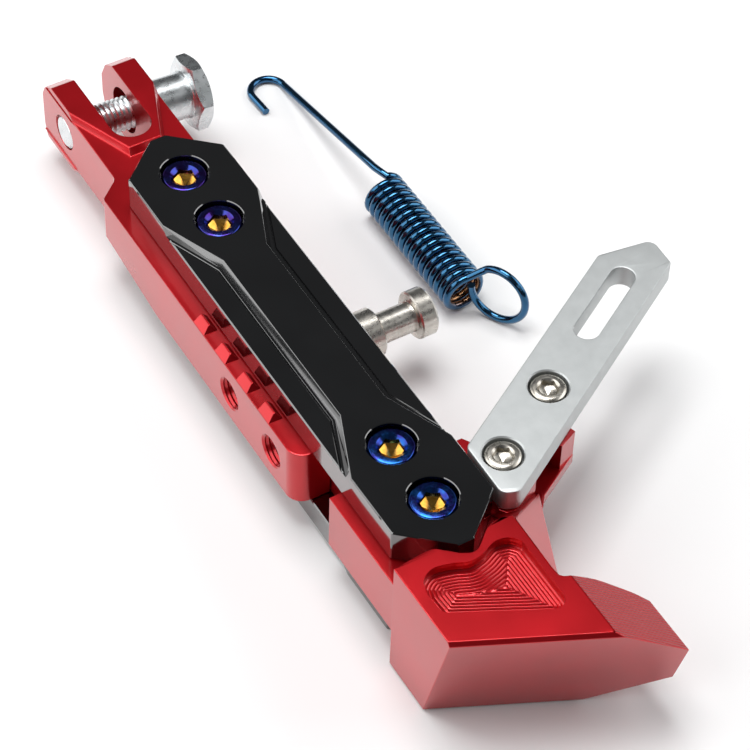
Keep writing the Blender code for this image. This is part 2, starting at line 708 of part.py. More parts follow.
build_pivot_bolt()
build_fork_arm()
build_plate("front_plate", 1)
build_plate("rear_plate", -1)
build_plate_fasteners()
build_spring_stud()
build_foot()
build_kick_tab()
build_return_spring()
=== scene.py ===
"""Looks of the side kickstand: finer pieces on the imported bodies, materials, floor, light and camera."""

from math import atan2, ceil, cos, hypot, pi, radians, sin, sqrt, tan

import bmesh
import bpy
from mathutils import Matrix, Vector
from mathutils.geometry import delaunay_2d_cdt


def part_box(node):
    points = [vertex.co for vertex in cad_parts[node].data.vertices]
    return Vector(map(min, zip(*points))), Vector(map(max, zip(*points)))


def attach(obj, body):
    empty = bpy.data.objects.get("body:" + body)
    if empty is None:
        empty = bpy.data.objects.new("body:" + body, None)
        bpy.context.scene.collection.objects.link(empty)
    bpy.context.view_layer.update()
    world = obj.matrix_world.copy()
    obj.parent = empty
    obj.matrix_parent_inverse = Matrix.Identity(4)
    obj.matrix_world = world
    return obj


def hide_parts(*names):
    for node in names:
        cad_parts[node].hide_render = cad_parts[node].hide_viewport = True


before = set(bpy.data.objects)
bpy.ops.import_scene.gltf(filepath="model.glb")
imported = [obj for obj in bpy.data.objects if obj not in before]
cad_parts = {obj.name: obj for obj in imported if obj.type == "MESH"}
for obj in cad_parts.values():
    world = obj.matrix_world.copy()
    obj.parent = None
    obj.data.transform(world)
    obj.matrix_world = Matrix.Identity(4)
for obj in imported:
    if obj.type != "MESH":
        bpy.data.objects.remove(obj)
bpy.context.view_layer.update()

# Every piece is built in millimetres, in a frame whose X is 0 on the leg's middle plane.
# The pivot's axis is X, Y runs up the leg and Z out of the front plate.
MM = 0.001
leg_x = sum(corner.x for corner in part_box("front_plate")) / 2
LEG = Matrix.Translation((leg_x, 0, 0)) @ Matrix.Scale(MM, 4)
PLATE_MIDDLE = sum(corner.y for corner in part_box("front_plate")) / 2 / MM
FLOOR_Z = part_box("rear_plate")[0].z

# The arm, the pivot bolt and the stud
FORK_HALF = 13.5
ARM_HALF_HEIGHT = 9.5
ARM_LEFT = -20.0
ARM_END = -147.6
SIDE_HOLES = (-111.9, -134.8)
STUD_Y = -111.2
PIVOT_HEAD_TURN = 0.79
PIVOT_SAG = (0.049, -0.022)

# The cover plates and their fasteners
PLATE_OUTER = 20.0
PLATE_INNER = 9.8
LEDGE_DROP = 2.0
BOLT_OFFSETS = (66.34, 46.12, -46.12, -66.34)
SOCKET_TURN = 0.485
CLEARANCE = 0.15
WASHER = 1.5
NUT = 5.0
NUT_SEAT = 8.0 - PLATE_OUTER - CLEARANCE
NUT_HIGH = NUT_SEAT - WASHER - CLEARANCE

# The foot and the kick tab
FOOT_HALF_HEIGHT = 19.5
SOLE_TURN = radians(25.2)
SOLE_LEAN = radians(13)
RIDGE_ROWS = 6
TAB_CENTRE = (34.25, -172.2)
TAB_ANGLE = radians(31.1)
TAB_HALF_WIDTH = 9.25
TAB_LOW = 13.0
TAB_TOP = 20.0
TAB_SCREWS = (-13.1, 13.1)

# The return spring
WIRE_RADIUS = 1.15
COIL_RADIUS = 5.85
COIL_X = 61.8
COIL_Z = -13.0
COIL_START = -54.5
COIL_END = -101.0
COIL_TURNS = 17
POINTS_PER_TURN = 28
HOOK_RADIUS = 5.4
HOOK_CENTRE = (56.6, 4.6)
HOOK_TIP = (51.6, -3.1)
HOOK_Z = -18.8
RING_RADIUS = 8.4
RING_CENTRE = Vector((68.0, -108.6, -10.4))
RING_RUN = Vector((0.452, -0.892, 0))
RING_SIDE = Vector((-0.892, -0.452, 0))
RING_SHIFT = 1.3

ROUND_STEP = pi / 32
BEVEL_ANGLE = radians(28)
FINE_WELD = 0.0005
FACING_X = Matrix.Rotation(pi / 2, 4, "Y")
ALONG_X = Matrix(((0, 0, 1, 0), (1, 0, 0, 0), (0, 1, 0, 0), (0, 0, 0, 1)))
ALONG_Y = Matrix(((1, 0, 0, 0), (0, 0, -1, 0), (0, 1, 0, 0), (0, 0, 0, 1)))

workshop = bpy.data.collections.new("workshop")
bpy.context.scene.collection.children.link(workshop)


# Outlines


def rounded(corners):
    """The outline through the corners (x, y, radius), each turned with its own radius."""
    points = []
    for index, (x, y, radius) in enumerate(corners):
        corner = Vector((x, y))
        before = (Vector(corners[index - 1][:2]) - corner).normalized()
        after = (Vector(corners[(index + 1) % len(corners)][:2]) - corner).normalized()
        if radius == 0:
            points.append((x, y))
            continue
        half = before.angle(after) / 2
        centre = corner + (before + after).normalized() * (radius / sin(half))
        start = corner + before * (radius / tan(half)) - centre
        turn = (pi - 2 * half) * (1 if start.x * (after - before).y > start.y * (after - before).x else -1)
        steps = max(2, ceil(abs(turn) / ROUND_STEP))
        for step in range(steps + 1):
            angle = atan2(start.y, start.x) + turn * step / steps
            points.append((centre.x + radius * cos(angle), centre.y + radius * sin(angle)))
    return points


def smooth(points, steps=8):
    """A smooth open curve through the points."""
    ends = [points[0], *points, points[-1]]
    curve = []
    for index in range(1, len(ends) - 2):
        before, start, end, after = (Vector(point) for point in ends[index - 1 : index + 3])
        for step in range(steps):
            t = step / steps
            value = 2 * start + (end - before) * t
            value += (2 * before - 5 * start + 4 * end - after) * t**2
            value += (3 * start - before - 3 * end + after) * t**3
            curve.append(tuple(value / 2))
    return [*curve, tuple(points[-1])]


def circle(x, y, radius, count=64):
    angles = [2 * pi * i / count for i in range(count)]
    return [(x + radius * cos(angle), y + radius * sin(angle)) for angle in angles]


def hexagon(x, y, across_flats, turn=0.0):
    """A hexagon whose first corner is at turn from X."""
    corner = across_flats / sqrt(3)
    angles = [i * pi / 3 + turn for i in range(6)]
    return [(x + corner * cos(angle), y + corner * sin(angle)) for angle in angles]


def stadium(low, high, half):
    """A slot along Y, with round ends centred at low and high."""
    round_end = half * 0.999
    corners = [(-half, low - half), (half, low - half), (half, high + half), (-half, high + half)]
    return rounded([(x, y, round_end) for x, y in corners])


def on_tab(a, b):
    """The leg's (x, y) at a along the tab and b across it."""
    x = TAB_CENTRE[0] + a * cos(TAB_ANGLE) - b * sin(TAB_ANGLE)
    return x, TAB_CENTRE[1] + a * sin(TAB_ANGLE) + b * cos(TAB_ANGLE)


# Solids, as meshes in millimetres


def shape(mesh):
    obj = bpy.data.objects.new("shape", mesh)
    workshop.objects.link(obj)
    return obj


def settle(obj):
    """The object's mesh with its modifiers applied. The object goes."""
    bpy.context.view_layer.update()
    mesh = bpy.data.meshes.new_from_object(obj.evaluated_get(bpy.context.evaluated_depsgraph_get()))
    bpy.data.objects.remove(obj)
    return mesh


def weld(mesh, distance=0.01, fill=False):
    """The mesh with its doubled points merged and, with fill, its small openings closed."""
    work = bmesh.new()
    work.from_mesh(mesh)
    bmesh.ops.remove_doubles(work, verts=work.verts, dist=distance)
    if fill:
        bmesh.ops.holes_fill(work, edges=[edge for edge in work.edges if edge.is_boundary], sides=0)
    bmesh.ops.recalc_face_normals(work, faces=work.faces)
    work.to_mesh(mesh)
    work.free()
    return mesh


def boolean(mesh, operation, *others):
    obj = shape(mesh)
    helpers = [shape(other) for other in others]
    for helper in helpers:
        modifier = obj.modifiers.new("boolean", "BOOLEAN")
        modifier.operation = operation
        modifier.object = helper
    result = settle(obj)
    for helper in helpers:
        bpy.data.objects.remove(helper)
    return result


def bevelled(mesh, width, segments=2):
    obj = shape(mesh)
    modifier = obj.modifiers.new("bevel", "BEVEL")
    modifier.width = width
    modifier.segments = segments
    modifier.limit_method = "ANGLE"
    modifier.angle_limit = BEVEL_ANGLE
    modifier.use_clamp_overlap = False
    return weld(settle(obj), FINE_WELD, fill=True)


def extruded(loops, low, high, edge=0.0, turn=None):
    """The flat loops from low to high along Z, or the axis that turn gives, their edges rounded by edge."""
    curve = bpy.data.curves.new("outline", "CURVE")
    curve.dimensions = "2D"
    curve.fill_mode = "BOTH"
    curve.extrude = (high - low) / 2 - edge
    curve.bevel_depth = edge
    curve.bevel_resolution = 1
    curve.offset = -edge
    for loop in loops:
        spline = curve.splines.new("POLY")
        spline.points.add(len(loop) - 1)
        spline.use_cyclic_u = True
        for point, (x, y) in zip(spline.points, loop):
            point.co = (x, y, 0, 1)
    mesh = settle(shape(curve))
    mesh.transform((turn or Matrix()) @ Matrix.Translation((0, 0, (low + high) / 2)))
    return weld(mesh)


def lofted(*levels):
    """A solid through outlines of (points, height), bottom to top, each with the same number of points."""
    count = len(levels[0][0])
    if any(len(outline) != count for outline, _ in levels):
        raise ValueError("the outlines of a loft differ in their number of points")
    points = [(x, y, height) for outline, height in levels for x, y in outline]
    faces = [list(range(count)), list(range(len(points) - count, len(points)))]
    for start in range(0, len(points) - count, count):
        for i in range(count):
            a, b = start + i, start + (i + 1) % count
            faces.append([a, b, b + count, a + count])
    mesh = bpy.data.meshes.new("lofted")
    mesh.from_pydata(points, [], faces)
    return weld(mesh, FINE_WELD)


def box(low, high):
    mesh = bpy.data.meshes.new("box")
    work = bmesh.new()
    low, high = Vector(low), Vector(high)
    place = Matrix.Translation((low + high) / 2) @ Matrix.Diagonal((*(high - low), 1))
    bmesh.ops.create_cube(work, size=1, matrix=place)
    work.to_mesh(mesh)
    work.free()
    return mesh


def hull(points):
    mesh = bpy.data.meshes.new("hull")
    work = bmesh.new()
    for point in points:
        work.verts.new(point)
    found = bmesh.ops.convex_hull(work, input=work.verts)
    inner = {item for key in ("geom_unused", "geom_interior") for item in found[key]}
    bmesh.ops.delete(work, geom=[vert for vert in work.verts if vert in inner], context="VERTS")
    bmesh.ops.dissolve_limit(work, angle_limit=radians(1), verts=work.verts, edges=work.edges)
    work.to_mesh(mesh)
    work.free()
    return mesh


def turned(profile, matrix=None, steps=64):
    """Turned about the matrix's Z from a profile of (radius, height), bottom to top, from axis to axis."""
    mesh = bpy.data.meshes.new("turned")
    points = []
    rings = []
    for radius, height in profile:
        if radius == 0:
            rings.append([len(points)])
            points.append((0, 0, height))
            continue
        rings.append(list(range(len(points), len(points) + steps)))
        points += [(x, y, height) for x, y in circle(0, 0, radius, steps)]
    faces = []
    for lower, upper in zip(rings, rings[1:]):
        for i in range(steps):
            corners = [lower[i % len(lower)], lower[(i + 1) % len(lower)]]
            corners += [upper[(i + 1) % len(upper)], upper[i % len(upper)]]
            faces.append(list(dict.fromkeys(corners)))
    mesh.from_pydata(points, [], faces)
    mesh.transform(matrix or Matrix())
    return weld(mesh)


def threaded(radius, low, high, pitch, depth, matrix, steps=40, rows_per_turn=8):
    """A cylinder along the matrix's Z with a thread that fades out at its ends. Its rows follow the helix."""
    rise = pitch / rows_per_turn
    rows = ceil((high - low) / rise) + rows_per_turn
    points = []
    for row in range(rows + 1):
        wave = abs(2 * (row % rows_per_turn) / rows_per_turn - 1)
        for i in range(steps):
            z = low + (row - rows_per_turn + rows_per_turn * i / steps) * rise
            z = max(low, min(high, z))
            fade = max(0, min(1, (z - low) / pitch - 0.3, (high - z) / pitch - 0.3))
            r = radius - depth * wave * fade
            points.append((r * cos(2 * pi * i / steps), r * sin(2 * pi * i / steps), z))
    faces = [list(range(steps)), list(range(rows * steps, (rows + 1) * steps))]
    for row in range(rows):
        for i in range(steps - 1):
            a = row * steps + i
            faces.append([a, a + 1, a + 1 + steps, a + steps])
        a = row * steps + steps - 1
        seam = [min(row + rows_per_turn + shift, rows) * steps for shift in (0, 1)]
        faces.append(list(dict.fromkeys([a, seam[0], seam[1], a + steps])))
    mesh = bpy.data.meshes.new("thread")
    mesh.from_pydata(points, [], faces)
    mesh.transform(matrix)
    return weld(mesh, FINE_WELD)


def across(x, y):
    """A frame at this point whose Z runs along X."""
    return Matrix.Translation((x, y, 0)) @ FACING_X


def upright(x, y):
    return Matrix.Translation((x, y, 0))


def piece(name, mesh, material, body, node, sharp=40):
    """A finished piece: it rides on the body and stands for the CAD node. sharp is in degrees."""
    mesh.name = name
    mesh.transform(LEG)
    mesh.shade_smooth()
    mesh.set_sharp_from_angle(angle=radians(sharp))
    mesh.materials.clear()
    mesh.materials.append(material)
    obj = bpy.data.objects.new(name, mesh)
    bpy.context.scene.collection.objects.link(obj)
    normals = obj.modifiers.new("normals", "WEIGHTED_NORMAL")
    normals.keep_sharp = True
    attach(obj, body)
    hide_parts(node)
    return obj


# Materials


class Nodes:
    """A material's node tree, with short calls for what the finishes share."""

    def __init__(self, name, **sockets):
        self.material = bpy.data.materials.new(name)
        self.material.use_nodes = True
        self.tree = self.material.node_tree
        self.shader = self.tree.nodes["Principled BSDF"]
        for socket, value in sockets.items():
            self.shader.inputs[socket.replace("_", " ")].default_value = value
        self.place = self.new("ShaderNodeTexCoord").outputs["Object"]

    def new(self, kind, **settings):
        node = self.tree.nodes.new(kind)
        for key, value in settings.items():
            if hasattr(node, key):
                setattr(node, key, value)
            else:
                node.inputs[key.replace("_", " ")].default_value = value
        return node

    def link(self, start, end):
        self.tree.links.new(start, end)

    def stretched(self, scale, rotation=(0, 0, 0)):
        """The object's own coordinates, scaled along each axis."""
        mapping = self.new("ShaderNodeMapping")
        mapping.inputs["Scale"].default_value = scale
        mapping.inputs["Rotation"].default_value = rotation
        self.link(self.place, mapping.inputs["Vector"])
        return mapping.outputs["Vector"]

    def noise(self, scale, detail, vector=None):
        node = self.new("ShaderNodeTexNoise", Scale=scale, Detail=detail)
        self.link(vector or self.place, node.inputs["Vector"])
        return node.outputs["Fac"]

    def ramp(self, fac, *stops):
        """A colour ramp through (position, (r, g, b))."""
        node = self.new("ShaderNodeValToRGB")
        ramp = node.color_ramp
        while len(ramp.elements) < len(stops):
            ramp.elements.new(0.5)
        for element, (position, colour) in zip(ramp.elements, stops):
            element.position = position
            element.color = (*colour, 1)
        self.link(fac, node.inputs["Fac"])
        return node.outputs["Color"]

    def vary(self, socket, fac, low, high):
        """The socket goes from low to high over the noise's usual range."""
        node = self.new("ShaderNodeMapRange")
        node.inputs["From Min"].default_value = 0.3
        node.inputs["From Max"].default_value = 0.7
        node.inputs["To Min"].default_value = low
        node.inputs["To Max"].default_value = high
        self.link(fac, node.inputs["Value"])
        self.link(node.outputs["Result"], self.shader.inputs[socket])

    def progress(self, value, start, end, **settings):
        """How far the value has come from start to end, as 0 to 1."""
        node = self.new("ShaderNodeMapRange", **settings)
        node.inputs["From Min"].default_value = start
        node.inputs["From Max"].default_value = end
        self.link(value, node.inputs["Value"])
        return node.outputs["Result"]

    def product(self, first, second):
        node = self.new("ShaderNodeMath", operation="MULTIPLY")
        self.link(first, node.inputs[0])
        self.link(second, node.inputs[1])
        return node.outputs["Value"]

    def bump(self, height, distance, strength=1.0):
        """Adds relief of this distance, in metres, over any relief already there."""
        node = self.new("ShaderNodeBump", Distance=distance, Strength=strength)
        self.link(height, node.inputs["Height"])
        last = self.shader.inputs["Normal"]
        if last.is_linked:
            self.link(last.links[0].from_socket, node.inputs["Normal"])
        self.link(node.outputs["Normal"], last)


def anodised(name, dark, light, roughness, **sockets):
    """Dyed aluminium, with slow shifts in colour and gloss."""
    finish = Nodes(name, **sockets)
    slow = finish.noise(45, 2)
    finish.link(finish.ramp(slow, (0.35, dark), (0.65, light)), finish.shader.inputs["Base Color"])
    finish.vary("Roughness", slow, *roughness)
    return finish


def red_finish():
    finish = anodised(
        "red anodised", (0.44, 0.002, 0.006), (0.52, 0.003, 0.009), (0.27, 0.33),
        Metallic=0.7, Coat_Weight=1.0, Coat_Roughness=0.10, Coat_IOR=1.35,
    )
    return finish.material


def ribbed_red_finish():
    """The same dye over the fine cutter lines of the toe's chamfer."""
    finish = anodised(
        "red anodised, lined", (0.34, 0.006, 0.010), (0.40, 0.008, 0.014), (0.34, 0.42),
        Metallic=0.6, Coat_Weight=0.6, Coat_Roughness=0.25, Coat_IOR=1.5,
    )
    wave = finish.new("ShaderNodeTexWave", Scale=330.0)
    wave.wave_type = "BANDS"
    wave.bands_direction = "Y"
    finish.link(finish.stretched((1, 1, 1), (0, 0, radians(24))), wave.inputs["Vector"])
    finish.bump(wave.outputs["Fac"], 0.00018)
    return finish.material


def black_finish():
    finish = anodised(
        "black anodised", (0.0010, 0.0010, 0.0011), (0.0016, 0.0016, 0.0018), (0.08, 0.13),
        Metallic=0.0, Specular_IOR_Level=1.0, Coat_Weight=1.0, Coat_Roughness=0.06, Coat_IOR=1.8,
    )
    return finish.material


def satin_finish():
    """Bare satin aluminium with fine scratches and a few small dents."""
    finish = Nodes("satin aluminium", Metallic=0.85)
    colour = finish.ramp(finish.noise(260, 5), (0.3, (0.52, 0.54, 0.54)), (0.7, (0.57, 0.59, 0.59)))
    finish.link(colour, finish.shader.inputs["Base Color"])
    finish.vary("Roughness", finish.noise(1400, 4), 0.47, 0.51)
    finish.bump(finish.noise(900, 4, finish.stretched((0.05, 3, 1), (0, 0, -TAB_ANGLE))), 0.000004)
    dents = finish.new("ShaderNodeTexVoronoi", Scale=170.0)
    finish.link(finish.place, dents.inputs["Vector"])
    finish.bump(finish.ramp(dents.outputs["Distance"], (0.0, (0, 0, 0)), (0.07, (1, 1, 1))), 0.00004, 0.5)
    return finish.material


def steel_finish(name, dark, light, lines):
    """Turned steel: faint cutter lines round the axis that lines stretches, and small stains."""
    finish = Nodes(name, Metallic=1.0)
    colour = finish.ramp(finish.noise(380, 4), (0.3, dark), (0.7, light))
    finish.link(colour, finish.shader.inputs["Base Color"])
    finish.vary("Roughness", finish.noise(700, 4), 0.24, 0.34)
    finish.bump(finish.noise(1, 2, finish.stretched(lines)), 0.000004)
    return finish.material


def zinc_finish():
    finish = Nodes("zinc plate", Metallic=1.0)
    colour = finish.ramp(finish.noise(260, 5), (0.3, (0.66, 0.70, 0.71)), (0.7, (0.80, 0.83, 0.84)))
    finish.link(colour, finish.shader.inputs["Base Color"])
    finish.vary("Roughness", finish.noise(500, 4), 0.24, 0.34)
    finish.bump(finish.noise(500, 3, finish.stretched((1, 3, 1))), 0.000008)
    return finish.material


def heat_finish(name, ring, rim):
    """Heat-coloured titanium, whose tint shifts across the head."""
    finish = Nodes(name, Metallic=1.0)
    colour = finish.ramp(finish.noise(260, 2), (0.38, ring), (0.62, rim))
    finish.link(colour, finish.shader.inputs["Base Color"])
    finish.vary("Roughness", finish.noise(1500, 3), 0.12, 0.24)
    return finish.material


def gold_finish():
    finish = Nodes("gold socket", Metallic=1.0)
    colour = finish.ramp(finish.noise(600, 3), (0.3, (0.62, 0.30, 0.04)), (0.7, (0.80, 0.44, 0.09)))
    finish.link(colour, finish.shader.inputs["Base Color"])
    finish.vary("Roughness", finish.noise(1500, 3), 0.14, 0.24)
    return finish.material


def wire_finish():
    """Blue heat-coloured wire that turns bronze on the coil's inner side."""
    finish = Nodes("blued wire", Metallic=1.0, Coat_Weight=0.6, Coat_Roughness=0.05)
    offset = finish.new("ShaderNodeMapping")
    offset.inputs["Location"].default_value = (-leg_x - COIL_X * MM, 0, -COIL_Z * MM)
    finish.link(finish.place, offset.inputs["Vector"])
    split = finish.new("ShaderNodeSeparateXYZ")
    finish.link(offset.outputs["Vector"], split.inputs["Vector"])
    flat = finish.new("ShaderNodeCombineXYZ")
    finish.link(split.outputs["X"], flat.inputs["X"])
    finish.link(split.outputs["Z"], flat.inputs["Z"])
    length = finish.new("ShaderNodeVectorMath", operation="LENGTH")
    finish.link(flat.outputs["Vector"], length.inputs["Vector"])
    inner = (COIL_RADIUS - WIRE_RADIUS) * MM
    outer = (COIL_RADIUS + WIRE_RADIUS) * MM
    depth = finish.progress(length.outputs["Value"], inner, outer)
    bronze = finish.ramp(depth, (0.2, (1, 1, 1)), (0.5, (0, 0, 0)))
    along = split.outputs["Y"]
    inside = []
    for start, end in ((COIL_START + 3, COIL_START - 1), (COIL_END - 0.5, COIL_END + 1.5)):
        inside.append(finish.progress(along, start * MM, end * MM, interpolation_type="SMOOTHSTEP"))
    share = finish.product(finish.product(*inside), bronze)
    tint = finish.ramp(share, (0.0, (0.014, 0.105, 0.22)), (1.0, (0.30, 0.16, 0.07)))
    shift = finish.ramp(finish.noise(70, 3), (0.35, (0.75, 0.8, 0.9)), (0.7, (1.25, 1.15, 1.1)))
    mix = finish.new("ShaderNodeMix", data_type="RGBA", blend_type="MULTIPLY")
    mix.inputs["Factor"].default_value = 1.0
    finish.link(tint, mix.inputs["A"])
    finish.link(shift, mix.inputs["B"])
    finish.link(mix.outputs["Result"], finish.shader.inputs["Base Color"])
    finish.vary("Roughness", finish.noise(900, 3), 0.10, 0.20)
    finish.bump(finish.noise(1500, 3, finish.stretched((1, 0.1, 1))), 0.00001)
    return finish.material


red = red_finish()
lined_red = ribbed_red_finish()
black = black_finish()
satin = satin_finish()
stud_steel = steel_finish("turned steel", (0.56, 0.53, 0.48), (0.66, 0.63, 0.58), (9000, 10, 10))
screw_steel = steel_finish("screw steel", (0.44, 0.41, 0.36), (0.66, 0.63, 0.57), (10, 10, 9000))
zinc = zinc_finish()
violet = heat_finish("violet titanium", (0.05, 0.02, 0.17), (0.04, 0.06, 0.30))
blue = heat_finish("blue titanium", (0.03, 0.03, 0.22), (0.02, 0.12, 0.42))
gold = gold_finish()
wire = wire_finish()


# Pieces


def build_pivot_bolt():
    """The shouldered hex bolt. It hangs a little low in the right ear's wide hole."""
    tip = -FORK_HALF
    thread_end = 8.5
    head = 25.3
    head_end = 30.3
    flats = 20.0
    face = 9.6
    chamfer = 1.05
    rim = flats / sqrt(3) + 0.4
    place = across(0, 0)
    shank = turned(
        [(0, thread_end - 1), (4.9, thread_end - 1), (4.9, thread_end + 1.2), (6.4, thread_end + 1.2)]
        + [(7, thread_end + 1.8), (7, head - 0.5), (7.5, head + 0.2), (0, head + 0.2)],
        place,
    )
    thread = threaded(5.1, tip + 0.5, thread_end, 1.5, 0.72, place)
    end = turned([(0, tip), (4.4, tip), (5.1, tip + 0.7), (0, tip + 0.7)], place)
    prism = extruded([hexagon(0, 0, flats, PIVOT_HEAD_TURN)], head, head_end, 0.0, ALONG_X)
    barrel = turned(
        [(0, head - 0.01), (face, head - 0.01), (rim, head + chamfer + 0.2)]
        + [(rim, head_end - chamfer - 0.2), (face, head_end + 0.01), (0, head_end + 0.01)],
        place,
    )
    hex_head = boolean(prism, "INTERSECT", barrel)
    mesh = boolean(hex_head, "UNION", shank, thread, end)
    left_ear = Matrix.Translation((-10, 0, 0))
    sag = Matrix.Rotation(PIVOT_SAG[0], 4, "Y") @ Matrix.Rotation(PIVOT_SAG[1], 4, "Z")
    mesh.transform(left_ear @ sag @ left_ear.inverted())
    piece("pivot_bolt_fine", mesh, zinc, "pivot", "pivot_bolt")


def build_arm():
    """The forked arm, with chamfered ears, raised pads, a saw-toothed edge and two threaded side holes."""
    body = rounded(
        [
            (-11.5, 16, 0),
            (-FORK_HALF, 14, 0),
            (-FORK_HALF, -33, 3),
            (ARM_LEFT, -38.5, 1.5),
            (ARM_LEFT, ARM_END, 5),
            (18.4, ARM_END, 5),
            (18.4, -38.5, 1.5),
            (FORK_HALF, -33, 3),
            (FORK_HALF, 14, 0),
            (11.5, 16, 0),
        ]
    )
    solid = extruded([body], -ARM_HALF_HEIGHT, ARM_HALF_HEIGHT)
    foot = [(-11.5, 16.2), (-13.6, 14), (-13.6, -7.2), (-5.6, -27.3)]
    top = [(-11.5, 16.2), (-13.6, 14), (-13.6, -4.3), (-5.0, -25.6)]
    foot += [(-x, y) for x, y in reversed(foot)]
    top += [(-x, y) for x, y in reversed(top)]
    front_pad = lofted((foot, ARM_HALF_HEIGHT - 0.4), (top, 11.6))
    rear_pad = lofted((top, -11.6), (foot, 0.4 - ARM_HALF_HEIGHT))
    solid = boolean(solid, "UNION", front_pad, rear_pad)
    nose = [(11.6, -12), (13.4, -9.6), (14.9, -4.3), (14.9, 2.6), (12.2, 8.1), (7, 11.7)]
    ear = [(-160, -14.9, 0), (7, -14.9, 0), *[(y, z, 2.5) for y, z in nose], (-160, 11.7, 0)]
    solid = boolean(solid, "INTERSECT", extruded([rounded(ear)], -30, 30, 0, ALONG_X))
    taper = [(-30, -4), (-70, -ARM_HALF_HEIGHT - 0.05), (-70, -15), (-30, -15)]
    solid = boolean(solid, "DIFFERENCE", extruded([taper], -25, -13.6, 0, ALONG_X))
    teeth = []
    for index in range(4):
        y = -91.8 - 11.9 * index
        points = [(-19.9, y, 9), (-19.9, y - 5.9, 9), (-15.2, y, 9), (-15.2, y - 6.3, 9)]
        points += [(-19.9, y, 9.5), (-19.9, y - 5.9, 9.5), (-17.9, y, 11.2), (-17.9, y - 4.8, 11.2)]
        teeth.append(bevelled(hull([*points, (-17.2, y, 11.4), (-17.2, y - 4.7, 11.4)]), 0.12, 1))
    gap = [(-6, 20, 0), (-6, -22.3, 5.99), (6, -22.3, 5.99), (6, 20, 0)]
    solid = boolean(solid, "DIFFERENCE", extruded([rounded(gap)], -16, 16))
    solid = boolean(bevelled(solid, 0.35), "UNION", *teeth)
    cutters = [
        box((-9.4, ARM_END - 5, -15), (9.4, -140.9, 15)),
        turned([(0, -15), (5.9, -15), (5.3, -13), (5.3, -5), (0, -5)], across(0, 0)),
        turned([(0, 5), (7.2, 5), (7.2, 13.1), (8, 15), (0, 15)], across(0, 0)),
        turned([(0, 8), (4.3, 8), (4.3, 17.9), (5.4, 19.4), (0, 19.4)], across(0, STUD_Y)),
    ]
    for offset in BOLT_OFFSETS[:2]:
        cutters.append(turned([(0, -12), (4.3, -12), (4.3, 12), (0, 12)], upright(0, PLATE_MIDDLE + offset)))
    for y in SIDE_HOLES:
        cutters.append(threaded(4.4, ARM_LEFT - 1.63, ARM_LEFT + 12, 1.25, -0.45, across(0, y)))
        cutters.append(turned([(0, -22), (5.6, -22), (5.05, -20), (4.3, -19.3), (0, -19.3)], across(0, y)))
    solid = weld(boolean(solid, "DIFFERENCE", *cutters), FINE_WELD, fill=True)
    piece("arm_fine", solid, red, "leg", "fork_arm")


def plate_outline(inset=0.0):
    corners = []
    for side, end in ((-1, 1), (1, 1), (1, -1), (-1, -1)):
        shoulder = (side * (15.0 - inset), PLATE_MIDDLE + end * (71.2 - 0.4 * inset), 1.0)
        apex = (side * 2.3, PLATE_MIDDLE + end * (82.4 - inset), 1.2)
        corners += [shoulder, apex] if side * end < 0 else [apex, shoulder]
    return rounded(corners)


def ledge_outline(side, grow):
    """The part of the plate beside the rib, on one side. grow takes it away from the rib."""
    corners = [(16.5, -54.5 + 2.4 * grow), (6.9 + grow, -31.3 + 0.45 * grow)]
    corners += [(x, -y) for x, y in reversed(corners)]
    return [(side * x, PLATE_MIDDLE + y) for x, y in corners]


def build_plate(name, face, node):
    """A cover plate: a raised rib with slanted walls, and a fine line engraved along it on each ledge."""
    ledge = PLATE_OUTER - LEDGE_DROP
    solid = lofted(
        (plate_outline(0.3), PLATE_INNER),
        (plate_outline(), PLATE_INNER + 0.3),
        (plate_outline(), PLATE_OUTER - 0.35),
        (plate_outline(0.35), PLATE_OUTER),
    )
    cutters = []
    lines = []
    for side in (-1, 1):
        levels = [(0.9, ledge), (-0.2, PLATE_OUTER - 0.15), (-0.45, PLATE_OUTER), (-2.4, PLATE_OUTER + 1.2)]
        cutters.append(lofted(*[(ledge_outline(side, grow), height) for grow, height in levels]))
        rim = [(side * 14.6, ledge + 0.05), (side * 15.3, ledge - 0.65), (side * 15.3, ledge + 0.05)]
        cutters.append(extruded([rim], -PLATE_MIDDLE - 47, -PLATE_MIDDLE + 47, 0, ALONG_Y))
        levels = []
        for near, far, height in ((1.85, 1.95, ledge - 0.35), (1.55, 2.25, ledge + 0.05)):
            levels.append((ledge_outline(side, near) + ledge_outline(side, far)[::-1], height))
        lines.append(lofted(*levels))
    for offset in BOLT_OFFSETS:
        place = upright(0, PLATE_MIDDLE + offset)
        radius, depth = (6.9, 7.0) if face > 0 else (8.2, 8.0)
        floor = PLATE_OUTER - depth
        profile = [(0, 5), (4.3, 5), (4.3, floor), (radius, floor), (radius, PLATE_OUTER - 0.22)]
        cutters.append(turned([*profile, (radius + 2.22, PLATE_OUTER + 2), (0, PLATE_OUTER + 2)], place))
    solid = boolean(boolean(solid, "DIFFERENCE", *cutters), "DIFFERENCE", *lines)
    if face < 0:
        solid.transform(Matrix.Diagonal((1, 1, -1, 1)))
        solid.flip_normals()
    piece(name, solid, black, "leg", node)


def socket_cutter(across_flats, top, depth, point, mouth, place):
    """A hex socket that ends in a six-sided point. mouth is the width of its chamfer."""
    corners = hexagon(0, 0, across_flats, SOCKET_TURN)
    small = [(0.1 * x, 0.1 * y) for x, y in corners]
    mesh = lofted((small, top - depth - point), (corners, top - depth), (corners, top + 1))
    rim = across_flats / sqrt(3) + mouth - 0.1
    low = top - rim + 1.4
    cone = turned([(0, low), (1.4, low), (rim + 0.5, top + 0.5), (0, top + 0.5)], steps=60)
    mesh = boolean(mesh, "UNION", cone)
    mesh.transform(place)
    return mesh


